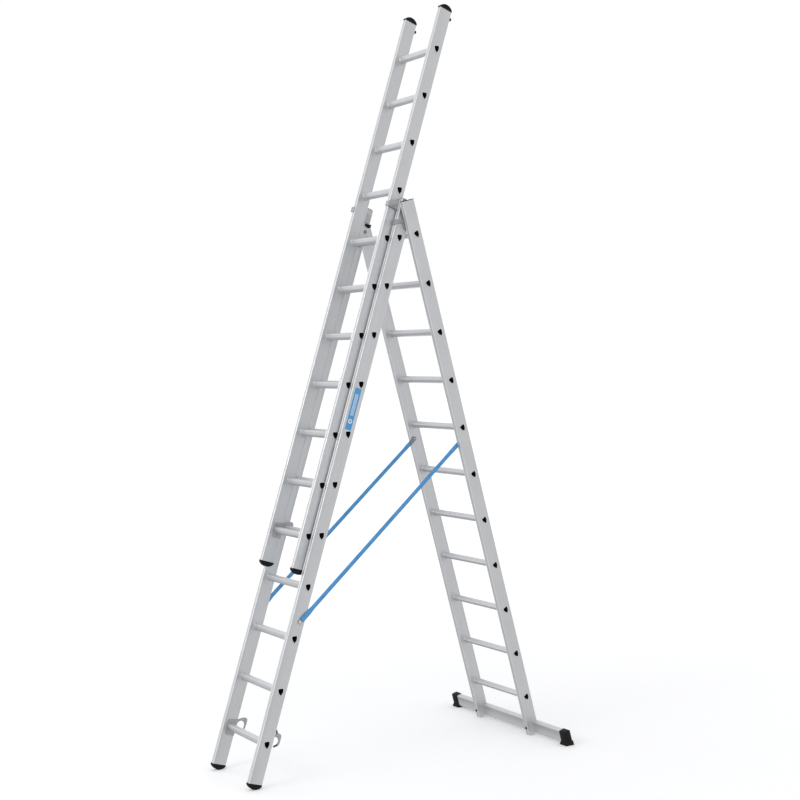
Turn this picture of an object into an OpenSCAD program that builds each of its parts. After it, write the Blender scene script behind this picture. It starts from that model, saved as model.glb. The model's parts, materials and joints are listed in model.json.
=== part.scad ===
// Three-section combination ladder: main and support sections stand as a trestle,
// and the upper section slides up the front of the main section.
// Each section is drawn in its own frame: X across, Y from front to rear of the
// stile, Z along the stile, with the origin on the lowest rung's axis.

/* [Ladder] */
// Distance from rung to rung along the stile
rung_pitch = 280; // [260:5:300]
// Number of rungs in each section
rung_count = 11; // [9:1:11]
// Rungs by which the upper section is pushed up
raised_rungs = 4; // [2:1:4]
// Lean of the main section from vertical, in degrees
main_lean = 17.4; // [16:0.1:18]
// Lean of the support section from vertical, in degrees
support_lean = 16.55; // [16:0.05:17]

/* [Stiles] */
// Depth of a stile, front to rear
stile_depth = 80; // [78:0.5:80]
// Width of a stile
stile_width = 27; // [24:0.5:27]
// Wall of a stile
stile_wall = 2; // [1.5:0.1:2.5]
// Overall width of the upper section
upper_width = 368; // [360:1:368]
// Overall width of the main section
main_width = 440; // [438:1:442]
// Overall width of the support section
support_width = 508; // [508:1:516]

/* [Rungs] */
// Radius of the two rounded corners beside a rung's tread
rung_corner = 7.5; // [7:0.1:7.7]
// Wall of a rung
rung_wall = 1.6; // [1.4:0.1:2]
// Distance a rung sits behind the middle of the stile
rung_set_back = 4.8; // [4.8:0.1:5.2]

/* [Stabiliser bar] */
// Length of the bar's metal tube
bar_length = 1080; // [1000:10:1100]
// Height of the bar
bar_height = 70; // [66:1:72]
// Depth of the bar, front to rear
bar_depth = 34; // [30:1:34]

/* [Straps] */
// Width of the spreader webbing
strap_width = 24; // [20:1:26]
// Thickness of the spreader webbing
strap_thickness = 1.6; // [1.2:0.1:1.8]

/* [Hidden] */
$fn = 48;

LEFT = -1;
RIGHT = 1;
cut = 1;                    // how far a cutting shape runs past the face it cuts

// Colours
bare_aluminium = [0.78, 0.79, 0.80];
cast_grey = [0.50, 0.52, 0.52];
plastic_black = [0.05, 0.05, 0.05];
webbing_blue = [0.15, 0.42, 0.75];
steel_grey = [0.62, 0.63, 0.64];

// Along each section, from the lowest rung's axis
top_rung = (rung_count - 1) * rung_pitch;
main_low = -210.35;
main_high = top_rung + 209;
upper_low = -183;
upper_high = top_rung + 232;
support_low = -236;
support_high = top_rung + 185;

// How the sections nest: each lies one step in front of the next, with its rungs
// a little lower, so that the treads of two sections form one level step
nest_step = stile_depth / 2 + 15;
nest_drop = 21;

// Stile section
half_depth = stile_depth / 2;
stile_corner = 3.5;
bead_width = 1.2;
bead_depth = 0.8;
bead_offset = 5.5;
hollow_width = stile_width - 2 * stile_wall;
hollow_depth = stile_depth - 2 * stile_wall - 2 * bead_depth;
hollow_corner = 2;

// Rung section: a rounded shield, tread up, point down, around these circles' centres
tread_half = 9;
tread_rise = 7;
side_half = 6;
side_drop = 6.5;
side_corner = 8;
point_drop = 19.5;
point_corner = 4.5;
rung_fit = 0.1;             // gap between a rung and its hole
rim_width = 2.6;            // collar that holds a rung in its stile
rim_height = 1.5;
groove_width = 1.2;
groove_depth = 0.6;
groove_gap = 3.4;

// Rounded end caps
cap_radius = 50;
cap_rim = 8;
cap_overhang = 0.6;
cap_arc_centre = sqrt(cap_radius * cap_radius - pow(half_depth + cap_overhang, 2));
plug_length = 30;
plug_fit = 0.2;
plug_lid = 3;

// Hinge, in the main section's frame
hinge_rear = 28;
hinge_up = top_rung + 75;
pin_radius = 6;
pin_fit = 0.1;              // running clearance in the support stile
press_fit = 0.05;           // clearance round a pin or rivet that doesn't turn
hinge_plate = 5;
touch_gap = 0.2;            // between two pieces that only rest against each other

// Hooks, in a section's frame
mouth_rear = 62;
mouth_up = 17;
mouth_radius = 23.5;
hook_thick = 5;
border_thick = 1.5;
catch_pivot = [76, 49];     // rearwards, upwards
catch_boss = 7;
catch_pin_radius = 2.5;
catch_thick = 3;
catch_gap = 0.4;

// Straps: rivets on the main section and on the support section [rear, up]
strap_main = [10, 651];
strap_support = [-17, 1596];
rivet_radius = 4;
rivet_head = 9;

// Stabiliser bar, in the support section's frame
bar_low = support_low - 2;
bar_high = bar_low + bar_height;
bar_rear = half_depth;
bar_front = bar_rear - bar_depth;
bar_wall = 2;
bar_corner = 3;
cap_length = 50;
cap_wall = 4;
bracket_front = -20;

// Places of the sections
main_foot_centre = main_low - cap_rim + cap_arc_centre;
main_z = cap_radius - main_foot_centre * cos(main_lean);
reach_front = -870.13;      // sets the origin under the middle of the open ladder
hinge_y = reach_front + hinge_up * sin(main_lean) + hinge_rear * cos(main_lean);
hinge_z = main_z + hinge_up * cos(main_lean) - hinge_rear * sin(main_lean);
support_hinge_up = hinge_up - nest_drop;
support_hinge_rear = hinge_rear - nest_step;
support_y = hinge_y + support_hinge_up * sin(support_lean)
    - support_hinge_rear * cos(support_lean);
support_z = hinge_z - support_hinge_up * cos(support_lean)
    - support_hinge_rear * sin(support_lean);

// ---- Placing ----

module place_main() {
    translate([0, reach_front, main_z]) rotate([-main_lean, 0, 0]) children();
}

module place_upper() {
    place_main() translate([0, -nest_step, raised_rungs * rung_pitch - nest_drop]) children();
}

module place_support() {
    translate([0, support_y, support_z]) rotate([support_lean, 0, 0]) children();
}

// Turns an outline drawn as [rearwards, upwards] into a plate from x to x + thick
module side_plate(x, thick) {
    translate([x, 0, 0]) rotate([90, 0, 90]) linear_extrude(thick) children();
}

// Mirrors what is drawn on the right side to the given side
module on_side(side) {
    if (side == RIGHT) children();
    else mirror([1, 0, 0]) children();
}

// ---- Shared outlines ----

module rounded_rect(w, h, r) {
    square([w - 2 * r, h], center = true);
    square([w, h - 2 * r], center = true);
    for (i = [-1, 1], j = [-1, 1])
        translate([i * (w / 2 - r), j * (h / 2 - r)]) circle(r);
}

// Outline round five circles, each grown by the given amount
rung_corners = [
    [-tread_half, tread_rise], [-side_half, -side_drop], [0, -point_drop],
    [side_half, -side_drop], [tread_half, tread_rise]
];
rung_radii = [rung_corner, side_corner, point_corner, side_corner, rung_corner];
corner_count = len(rung_corners);
corner_steps = 4;
// Direction that an edge faces: the common tangent of the circles at its two ends
function edge_angle(i) = let(
    next = (i + 1) % corner_count,
    d = rung_corners[next] - rung_corners[i],
    slope = asin((rung_radii[i] - rung_radii[next]) / norm(d))
) atan2(-d[0], d[1]) + slope;
function corner_arc(i, grow) = let(
    start = edge_angle((i + corner_count - 1) % corner_count),
    sweep = (edge_angle(i) - start + 360) % 360
) [for (k = [0:corner_steps]) let(a = start + sweep * k / corner_steps)
    rung_corners[i] + (rung_radii[i] + grow) * [cos(a), sin(a)]];
module delta(grow) {
    polygon([for (i = [0:corner_count - 1]) each corner_arc(i, grow)]);
}

// A rung outline in the section's frame, tread level when the main section leans
module rung_outline(grow) {
    translate([rung_set_back, 0]) rotate(main_lean) delta(grow);
}

// ---- Stiles ----

module stile_outline() {
    difference() {
        rounded_rect(stile_width, stile_depth, stile_corner);
        for (i = [-1, 1], j = [-1, 1])
            translate([i * bead_offset, j * half_depth])
                square([bead_width, 2 * bead_depth], center = true);
    }
}

module stile_hollow() {
    rounded_rect(hollow_width, hollow_depth, hollow_corner);
}

module stile(outer_width, low, high) {
    centre = outer_width / 2 - stile_width / 2;
    difference() {
        translate([centre, 0, low]) linear_extrude(high - low) difference() {
            stile_outline();
            stile_hollow();
        }
        for (i = [0:rung_count - 1]) translate([0, 0, i * rung_pitch])
            side_plate(outer_width / 2 - stile_width - cut, stile_width + 2 * cut)
                rung_outline(rung_fit);
    }
}

// ---- Rungs ----

module tread_grooves() {
    for (i = [-2:2])
        translate([i * groove_gap, tread_rise + rung_corner])
            square([groove_width, 2 * groove_depth], center = true);
}

module rung(outer_width) {
    half = outer_width / 2;
    inner = half - stile_width;
    side_plate(-half, 2 * half) translate([rung_set_back, 0]) rotate(main_lean) difference() {
        delta(0);
        delta(-rung_wall);
        tread_grooves();
    }
    for (x = [-half - rim_height, -inner, inner - rim_height, half])
        side_plate(x, rim_height) difference() {
            rung_outline(rim_width);
            rung_outline(-rung_wall);
        }
}

module rungs(outer_width) {
    for (i = [0:rung_count - 1]) translate([0, 0, i * rung_pitch]) rung(outer_width);
}

// ---- End caps and plugs, drawn with the stile above them ----

module cap_profile() {
    intersection() {
        translate([0, cap_arc_centre - cap_rim]) circle(cap_radius, $fn = 96);
        translate([0, -cap_radius / 2]) square([2 * half_depth + 2 * cap_overhang, cap_radius],
            center = true);
    }
}

module round_cap(outer_width) {
    centre = outer_width / 2 - stile_width / 2;
    side_plate(centre - stile_width / 2 - cap_overhang, stile_width + 2 * cap_overhang)
        cap_profile();
    translate([centre, 0, 0]) plug_shank();
}

module plug_shank() {
    linear_extrude(plug_length)
        rounded_rect(hollow_width - 2 * plug_fit, hollow_depth - 2 * plug_fit,
            hollow_corner - plug_fit);
}

module flat_plug(outer_width, end) {
    centre = outer_width / 2 - stile_width / 2;
    translate([centre, 0, end]) {
        linear_extrude(plug_lid) rounded_rect(stile_width, stile_depth, stile_corner);
        translate([0, 0, -plug_length]) plug_shank();
    }
}

// ---- Guide on top of the main section, which wraps the upper section's stile ----

guide_low = main_high - 66;
guide_high = main_high - 3;
guide_x = main_width / 2 - stile_width - hook_thick;
lip_front = -nest_step - half_depth - 5;
lip_thick = 4;
lip_low = guide_low + 6;
lip_high = guide_low + 34;
lip_x = upper_width / 2 - stile_width + 2;
rib_thick = 2.5;
rib_height = 4;
rib_step = 11;
module guide() {
    side_plate(guide_x, hook_thick) polygon([
        [lip_front, lip_low], [lip_front, lip_high], [-half_depth, guide_high],
        [half_depth, guide_high], [half_depth, guide_low - 18], [4, guide_low - 18],
        [-half_depth, guide_low]
    ]);
    side_plate(lip_x, guide_x - lip_x)
        translate([lip_front, lip_low]) square([lip_thick, lip_high - lip_low]);
    // Ribs on the plate behind the upper stile
    for (i = [0:4])
        side_plate(guide_x - rib_thick, rib_thick)
            translate([8, guide_low - 14 + i * rib_step]) square([half_depth - 10, rib_height]);
}

// ---- Hinge ----

bracket_x = main_width / 2;
bracket_front_face = -half_depth - hinge_plate;
band_low = -19;
band_high = 9;
hinge_boss = 24;
module hinge_bracket() {
    difference() {
        union() {
            side_plate(bracket_x, hinge_plate) translate([0, hinge_up]) {
                polygon([
                    [bracket_front_face, band_low], [bracket_front_face, band_high],
                    [12, 35], [36, 22], [8, 6]
                ]);
                translate([hinge_rear, 0]) circle(hinge_boss);
            }
            side_plate(bracket_x - stile_width, stile_width)
                translate([bracket_front_face, hinge_up + band_low])
                    square([hinge_plate - touch_gap, band_high - band_low]);
        }
        side_plate(bracket_x - cut, hinge_plate + 2 * cut)
            translate([hinge_rear, hinge_up]) circle(pin_radius + press_fit);
    }
}

module pin_rod(x, length, radius) {
    translate([x, 0, 0]) rotate([0, 90, 0]) cylinder(length, r = radius);
}

pin_head = 3;
pin_head_radius = pin_radius + 4;
pin_start = bracket_x - stile_width;
pin_end = support_width / 2 - stile_width + stile_wall + 1;
module hinge_pin() {
    translate([0, hinge_rear, hinge_up]) {
        pin_rod(pin_start, pin_end - pin_start, pin_radius);
        pin_rod(pin_end, pin_head, pin_head_radius);
        pin_rod(pin_start - pin_head, pin_head, pin_head_radius);
    }
}

// Black plastic block that backs the hinge on the inside of the main stile
module hinge_latch() {
    side_plate(guide_x - 1, hook_thick + 1) polygon([
        [14, hinge_up + 34], [14, hinge_up + 45], [half_depth, hinge_up + 47],
        [half_depth + 11, hinge_up + 53], [half_depth + 13, hinge_up + 36],
        [half_depth + 2, hinge_up + 26], [30, hinge_up + 28]
    ]);
}

// ---- Hooks ----

module hook_outline() {
    difference() {
        polygon([
            [-13, -40], [-9, -46], [35, -46], [38, -42], [38, 17], [50, 31], [76, 29],
            [83, 15], [86, -2], [93, -2], [96, 27], [96, 50], [89, 58], [78, 61],
            [56, 54], [36, 44], [-13, 36], [-18, 31], [-19, 12], [-19, -6]
        ]);
        translate([mouth_rear, mouth_up]) circle(mouth_radius);
        rung_outline(rung_fit);
    }
}

// Raised edge on the outside of the claw
module hook_border() {
    difference() {
        polygon([
            [42, 44], [58, 52], [78, 59], [88, 56], [94, 49], [94, 27], [91, 1], [88, 1],
            [89, 25], [87, 37], [81, 44], [68, 48], [54, 47], [42, 40]
        ]);
        translate(catch_pivot) circle(catch_boss + 1.5);
    }
}

module hook(outer_width) {
    plate_x = outer_width / 2 - stile_width - hook_thick;
    difference() {
        side_plate(plate_x, hook_thick) hook_outline();
        side_plate(plate_x + hook_thick - rim_height - rung_fit, rim_height + cut)
            rung_outline(rim_width + rung_fit);
        translate([0, catch_pivot[0], catch_pivot[1]])
            pin_rod(plate_x - cut, hook_thick + 2 * cut, catch_pin_radius + rung_fit);
    }
    side_plate(plate_x - border_thick, border_thick) hook_border();
}

// Lever that shuts the hook's mouth: a thumb tab above its pin, a finger below
module catch_lever(outer_width) {
    plate_x = outer_width / 2 - stile_width - hook_thick - border_thick - catch_gap - catch_thick;
    difference() {
        union() {
            side_plate(plate_x, catch_thick) polygon([
                [68, 51], [59, 69], [60, 77], [65, 77], [76, 59], [91, 55], [101, 42],
                [100, 6], [89, -7], [70, -17], [65, -9], [81, 1], [88, 11], [89, 34], [80, 39],
                [72, 39]
            ]);
            translate([0, catch_pivot[0], catch_pivot[1]]) pin_rod(plate_x, catch_thick, catch_boss);
        }
        translate([0, catch_pivot[0], catch_pivot[1]])
            pin_rod(plate_x - cut, catch_thick + 2 * cut, catch_pin_radius + pin_fit);
    }
}

catch_head = 1.5;
module catch_pin(outer_width) {
    end = outer_width / 2 - stile_width;
    start = end - hook_thick - border_thick - 2 * catch_gap - catch_thick;
    translate([0, catch_pivot[0], catch_pivot[1]]) {
        pin_rod(start, end - start, catch_pin_radius);
        pin_rod(start - catch_head, catch_head, catch_pin_radius + 2);
    }
}

// ---- Small pieces on the sections ----

bumper_up = top_rung + 196;
bumper_height = 15;
bumper_radius = 10;
module bumper(outer_width) {
    translate([outer_width / 2 - stile_width / 2, half_depth, bumper_up]) rotate([-90, 0, 0])
        rotate_extrude() polygon([
            [0, 0], [bumper_radius, 0], [bumper_radius - 1, bumper_height - 3],
            [bumper_radius - 4, bumper_height], [0, bumper_height]
        ]);
}

label_length = 232;
label_width = 46;
label_thick = 0.6;
label_corner = 2.5;
label_middle = [-3.5, 6.5 * rung_pitch - 3];
module label() {
    side_plate(main_width / 2, label_thick)
        translate(label_middle) rounded_rect(label_width, label_length, label_corner);
}

// ---- Straps ----

// The strap's lie: its ends in the whole ladder's frame, as [rear, up]
function turned(p, lean) = [
    p[0] * cos(lean) + p[1] * sin(lean), p[1] * cos(lean) - p[0] * sin(lean)
];
strap_foot = turned(strap_main, main_lean) + [reach_front, main_z];
strap_head = turned(strap_support, -support_lean) + [support_y, support_z];
strap_run = norm(strap_head - strap_foot);
strap_rise = atan2(strap_head[1] - strap_foot[1], strap_head[0] - strap_foot[0]);
tab_x = main_width / 2 + 0.4;
tab_thick = 1.5;
tab_round = 12;             // radius of the tab's end round its rivet
tab_length = 44;
strap_x = tab_x + tab_thick + rung_fit;
strap_start = 14;           // how far the webbing starts from the rivet
sleeve_end = 80;            // where the doubled end sleeve stops
sleeve_taper = 20;
sleeve_half = strap_width / 2 + 3;
module strap() {
    half = strap_width / 2;
    translate([0, strap_foot[0], strap_foot[1]]) rotate([strap_rise, 0, 0])
        side_plate(strap_x, strap_thickness) polygon([
            [strap_start, -sleeve_half], [sleeve_end, -sleeve_half],
            [sleeve_end + sleeve_taper, -half], [strap_run - sleeve_end - sleeve_taper, -half],
            [strap_run - sleeve_end, -sleeve_half], [strap_run - strap_start, -sleeve_half],
            [strap_run - strap_start, sleeve_half], [strap_run - sleeve_end, sleeve_half],
            [strap_run - sleeve_end - sleeve_taper, half], [sleeve_end + sleeve_taper, half],
            [sleeve_end, sleeve_half], [strap_start, sleeve_half]
        ]);
}

// Steel tab sewn into an end of the webbing and riveted to a stile, drawn along +Y
module strap_tab() {
    difference() {
        union() {
            pin_rod(tab_x, tab_thick, tab_round);
            translate([tab_x, 0, -tab_round]) cube([tab_thick, tab_length, 2 * tab_round]);
        }
        pin_rod(tab_x - cut, tab_thick + 2 * cut, rivet_radius + press_fit);
    }
}

rivet_cap = 1.4;            // thickness of a rivet's head
module strap_rivet_main() {
    wall = main_width / 2;
    translate([0, strap_main[0], strap_main[1]]) {
        pin_rod(wall - stile_wall, tab_x + tab_thick - wall + stile_wall, rivet_radius);
        pin_rod(tab_x + tab_thick, rivet_cap, rivet_head);
    }
}

module strap_rivet_support() {
    wall = support_width / 2 - stile_width;
    translate([0, strap_support[0], strap_support[1]]) {
        pin_rod(tab_x, wall + stile_wall - tab_x, rivet_radius);
        pin_rod(tab_x + tab_thick + rung_fit, wall - tab_x - tab_thick - 2 * rung_fit, rivet_head);
    }
}

// Hole for a rivet at the given place, through the stile wall that starts at x
module rivet_hole(place, x) {
    translate([0, place[0], place[1]])
        pin_rod(x - cut, stile_wall + 2 * cut, rivet_radius + press_fit);
}

// ---- Stabiliser bar ----

module bar_outline(grow) {
    translate([(bar_front + bar_rear) / 2, (bar_low + bar_high) / 2])
        rounded_rect(bar_depth + 2 * grow, bar_height + 2 * grow, bar_corner + grow);
}

module bar_tube() {
    side_plate(-bar_length / 2, bar_length) difference() {
        bar_outline(0);
        bar_outline(-bar_wall);
    }
}

bolt_up = bar_high - 22;
bolt_radius = 4;
bolt_head = 7;
bolt_head_height = 3.5;
nut_height = 5;
module bolt_line(radius, front, rear) {
    translate([(support_width - stile_width) / 2, front, bolt_up])
        rotate([-90, 0, 0]) cylinder(rear - front, r = radius);
}

module bolt() {
    bolt_line(bolt_radius, -half_depth, bar_rear + 1);
    bolt_line(bolt_head, -half_depth - bolt_head_height, -half_depth);
    bolt_line(bolt_head - 1, bar_rear, bar_rear + nut_height);
}

module bolt_hole() {
    bolt_line(bolt_radius + rung_fit, -half_depth - cut, bar_rear + cut);
}

module bar_notch() {
    translate([support_width / 2 - stile_width - cut, bracket_front, bar_low - cut])
        cube([stile_width + 2 * cut, stile_depth, bar_height + cut + 1]);
}

// Saddle between a stile's lower end and the bar
saddle_inset = 1;
saddle_wall = 3;
saddle_top = 4;
module bar_bracket() {
    depth = bar_front - bracket_front;
    width = stile_width - 2 * saddle_inset;
    translate([support_width / 2 - stile_width + saddle_inset, bracket_front, bar_low]) difference() {
        cube([width, depth, bar_height]);
        translate([saddle_wall, saddle_wall, -cut])
            cube([width - 2 * saddle_wall, depth, bar_height - saddle_top + cut]);
    }
}

// Moulded boot on each end of the bar, with a sole that lies flat on the floor
sole_spread = 9;
sole_edge = 5;
boot_x = bar_length / 2 - cap_length + cap_wall;
sole_x = boot_x - sole_edge;
module bar_boot() {
    place_support() side_plate(boot_x, cap_length) bar_outline(cap_wall);
    front = turned([bar_front - cap_wall, bar_low], -support_lean) + [support_y, support_z];
    rear = turned([bar_rear + cap_wall, bar_low], -support_lean) + [support_y, support_z];
    top = rear[1] + sole_edge;
    side_plate(sole_x, cap_length + 2 * sole_edge) polygon([
        [front[0] - sole_spread, 0], [rear[0] + sole_spread, 0],
        [rear[0] + sole_spread, sole_edge], [rear[0] + 2, top],
        [front[0] + 4, top], [front[0] - sole_spread, sole_edge]
    ]);
}

module bar_cap(side) {
    color(plastic_black) on_side(side) difference() {
        bar_boot();
        place_support() side_plate(sole_x - cut, bar_length / 2 + cut - sole_x) bar_outline(rung_fit);
    }
}

// ---- Main section ----

module main_stile(side) {
    color(bare_aluminium) place_main() on_side(side) difference() {
        stile(main_width, main_low, main_high);
        translate([0, hinge_rear, hinge_up])
            pin_rod(bracket_x - stile_width - cut, stile_width + 2 * cut, pin_radius + press_fit);
        rivet_hole(strap_main, main_width / 2 - stile_wall);
    }
}

module main_stile_left() main_stile(LEFT);
module main_stile_right() main_stile(RIGHT);
module main_rungs() color(bare_aluminium) place_main() rungs(main_width);

module main_foot(side)
    color(plastic_black) place_main() on_side(side)
        translate([0, 0, main_low]) round_cap(main_width);
module main_foot_left() main_foot(LEFT);
module main_foot_right() main_foot(RIGHT);

module main_plug(side)
    color(plastic_black) place_main() on_side(side) flat_plug(main_width, main_high);
module main_plug_left() main_plug(LEFT);
module main_plug_right() main_plug(RIGHT);

module guide_left() color(cast_grey) place_main() on_side(LEFT) guide();
module guide_right() color(cast_grey) place_main() on_side(RIGHT) guide();
module hinge_bracket_left() color(cast_grey) place_main() on_side(LEFT) hinge_bracket();
module hinge_bracket_right() color(cast_grey) place_main() on_side(RIGHT) hinge_bracket();
module hinge_pin_left() color(steel_grey) place_main() on_side(LEFT) hinge_pin();
module hinge_pin_right() color(steel_grey) place_main() on_side(RIGHT) hinge_pin();
module hinge_latch_left() color(plastic_black) place_main() on_side(LEFT) hinge_latch();
module hinge_latch_right() color(plastic_black) place_main() on_side(RIGHT) hinge_latch();
module main_hook_left() color(cast_grey) place_main() on_side(LEFT) hook(main_width);
module main_hook_right() color(cast_grey) place_main() on_side(RIGHT) hook(main_width);
module main_catch() color(cast_grey) place_main() catch_lever(main_width);
module main_catch_pin() color(steel_grey) place_main() catch_pin(main_width);
module side_label() color(webbing_blue) place_main() label();

module strap_left() color(webbing_blue) on_side(LEFT) strap();
module strap_right() color(webbing_blue) on_side(RIGHT) strap();
module strap_tabs_main() color(steel_grey)
    for (side = [LEFT, RIGHT]) on_side(side)
        translate([0, strap_foot[0], strap_foot[1]]) rotate([strap_rise, 0, 0]) strap_tab();
module strap_tabs_support() color(steel_grey)
    for (side = [LEFT, RIGHT]) on_side(side)
        translate([0, strap_head[0], strap_head[1]]) rotate([strap_rise + 180, 0, 0]) strap_tab();
module strap_rivets_main() color(steel_grey) place_main()
    for (side = [LEFT, RIGHT]) on_side(side) strap_rivet_main();
module strap_rivets_support() color(steel_grey) place_support()
    for (side = [LEFT, RIGHT]) on_side(side) strap_rivet_support();

// ---- Upper section ----

module upper_stile(side)
    color(bare_aluminium) place_upper() on_side(side) stile(upper_width, upper_low, upper_high);
module upper_stile_left() upper_stile(LEFT);
module upper_stile_right() upper_stile(RIGHT);
module upper_rungs() color(bare_aluminium) place_upper() rungs(upper_width);

module upper_top_cap(side)
    color(plastic_black) place_upper() on_side(side)
        translate([0, 0, upper_high]) mirror([0, 0, 1]) round_cap(upper_width);
module upper_top_cap_left() upper_top_cap(LEFT);
module upper_top_cap_right() upper_top_cap(RIGHT);

module upper_bottom_cap(side)
    color(plastic_black) place_upper() on_side(side)
        translate([0, 0, upper_low]) round_cap(upper_width);
module upper_bottom_cap_left() upper_bottom_cap(LEFT);
module upper_bottom_cap_right() upper_bottom_cap(RIGHT);

module upper_bumper_left() color(plastic_black) place_upper() on_side(LEFT) bumper(upper_width);
module upper_bumper_right() color(plastic_black) place_upper() on_side(RIGHT) bumper(upper_width);
module upper_hook_left() color(cast_grey) place_upper() on_side(LEFT) hook(upper_width);
module upper_hook_right() color(cast_grey) place_upper() on_side(RIGHT) hook(upper_width);
module upper_catch() color(cast_grey) place_upper() catch_lever(upper_width);
module upper_catch_pin() color(steel_grey) place_upper() catch_pin(upper_width);

// ---- Support section ----

module support_stile(side) {
    color(bare_aluminium) place_support() on_side(side) difference() {
        stile(support_width, support_low, support_high);
        bar_notch();
        translate([0, support_hinge_rear, support_hinge_up])
            pin_rod(support_width / 2 - stile_width - cut, stile_wall + 2 * cut,
                pin_radius + pin_fit);
        rivet_hole(strap_support, support_width / 2 - stile_width);
        bolt_hole();
    }
}

module support_stile_left() support_stile(LEFT);
module support_stile_right() support_stile(RIGHT);
module support_rungs() color(bare_aluminium) place_support() rungs(support_width);

module support_plug(side)
    color(plastic_black) place_support() on_side(side) flat_plug(support_width, support_high);
module support_plug_left() support_plug(LEFT);
module support_plug_right() support_plug(RIGHT);

module stabiliser_bar() color(bare_aluminium) place_support() difference() {
    bar_tube();
    for (side = [LEFT, RIGHT]) on_side(side) bolt_hole();
}

module bar_cap_left() bar_cap(LEFT);
module bar_cap_right() bar_cap(RIGHT);

module bar_saddle(side)
    color(cast_grey) place_support() on_side(side) difference() {
        bar_bracket();
        bolt_hole();
    }
module bar_bracket_left() bar_saddle(LEFT);
module bar_bracket_right() bar_saddle(RIGHT);

module bar_bolts() color(plastic_black) place_support()
    for (side = [LEFT, RIGHT]) on_side(side) bolt();

main_stile_left();
main_stile_right();
main_rungs();
main_foot_left();
main_foot_right();
main_plug_left();
main_plug_right();
guide_left();
guide_right();
hinge_bracket_left();
hinge_bracket_right();
hinge_pin_left();
hinge_pin_right();
hinge_latch_left();
hinge_latch_right();
main_hook_left();
main_hook_right();
main_catch();
main_catch_pin();
side_label();
strap_left();
strap_right();
strap_tabs_main();
strap_tabs_support();
strap_rivets_main();
strap_rivets_support();
upper_stile_left();
upper_stile_right();
upper_rungs();
upper_top_cap_left();
upper_top_cap_right();
upper_bottom_cap_left();
upper_bottom_cap_right();
upper_bumper_left();
upper_bumper_right();
upper_hook_left();
upper_hook_right();
upper_catch();
upper_catch_pin();
support_stile_left();
support_stile_right();
support_rungs();
support_plug_left();
support_plug_right();
stabiliser_bar();
bar_cap_left();
bar_cap_right();
bar_bracket_left();
bar_bracket_right();
bar_bolts();
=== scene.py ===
"""Looks of a three-section combination ladder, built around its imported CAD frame."""

import json
import math

import bmesh
import bpy
from mathutils import Matrix, Vector


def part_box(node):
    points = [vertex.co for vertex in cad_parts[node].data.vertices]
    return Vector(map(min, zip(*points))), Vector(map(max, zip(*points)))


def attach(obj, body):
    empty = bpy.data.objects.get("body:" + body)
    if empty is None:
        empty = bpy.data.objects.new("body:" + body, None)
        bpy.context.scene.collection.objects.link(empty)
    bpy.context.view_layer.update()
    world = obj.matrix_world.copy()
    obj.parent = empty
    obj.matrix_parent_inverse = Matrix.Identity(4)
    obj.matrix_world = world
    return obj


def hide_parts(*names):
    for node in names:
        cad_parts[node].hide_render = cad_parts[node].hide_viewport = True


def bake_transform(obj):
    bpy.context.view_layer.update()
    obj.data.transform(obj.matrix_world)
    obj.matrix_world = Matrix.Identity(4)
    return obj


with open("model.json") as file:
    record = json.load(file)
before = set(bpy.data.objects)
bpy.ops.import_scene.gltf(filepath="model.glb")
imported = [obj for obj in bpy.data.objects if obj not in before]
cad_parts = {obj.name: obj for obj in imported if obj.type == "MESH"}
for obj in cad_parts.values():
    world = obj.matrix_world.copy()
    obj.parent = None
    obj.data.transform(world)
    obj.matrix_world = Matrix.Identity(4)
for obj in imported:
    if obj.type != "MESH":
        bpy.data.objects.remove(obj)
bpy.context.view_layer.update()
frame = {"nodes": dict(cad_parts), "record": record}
nodes = frame["nodes"]
body_of = {node: body for body, members in frame["record"]["behaviour"]["bodies"].items()
           for node in members}
MM = 0.001

# ---- Sections: each has its own frame, x across, y to the rear, z up along its stiles ----


def node_points(node):
    return [v.co.copy() for v in nodes[node].data.vertices]


def middle(points):
    lows = [min(p[i] for p in points) for i in range(3)]
    highs = [max(p[i] for p in points) for i in range(3)]
    return Vector(lows) + (Vector(highs) - Vector(lows)) / 2


def rung_groups(node, gap=0.1):
    """The rungs' points, one list for each rung, lowest rung first."""
    groups = []
    for point in sorted(node_points(node), key=lambda p: p.z):
        if not groups or point.z - groups[-1][-1].z > gap:
            groups.append([])
        groups[-1].append(point)
    return groups


class Section:
    def __init__(self, name):
        self.name = name
        groups = rung_groups(name + "_rungs")
        centres = [middle(group) for group in groups]
        up = (centres[-1] - centres[0]).normalized()
        rear = Vector((0, up.z, -up.y))
        self.matrix = Matrix.Translation(centres[0]) @ Matrix(
            ((1, 0, 0), (0, rear.y, up.y), (0, rear.z, up.z))).to_4x4()
        stile = self.box(name + "_stile_right")
        self.matrix = self.matrix @ Matrix.Translation((0, (stile[0].y + stile[1].y) / 2, 0))
        inverse = self.matrix.inverted()
        self.rungs = [middle([inverse @ p for p in group]) for group in groups]
        self.lean = math.atan2(up.y, up.z)

    def box(self, node):
        """Lowest and highest corner of a CAD node in this section's frame."""
        inverse = self.matrix.inverted()
        points = [inverse @ p for p in node_points(node)]
        low = Vector([min(p[i] for p in points) for i in range(3)])
        high = Vector([max(p[i] for p in points) for i in range(3)])
        return low, high


main, upper, support = Section("main"), Section("upper"), Section("support")

# ---- Material nodes ----


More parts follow.
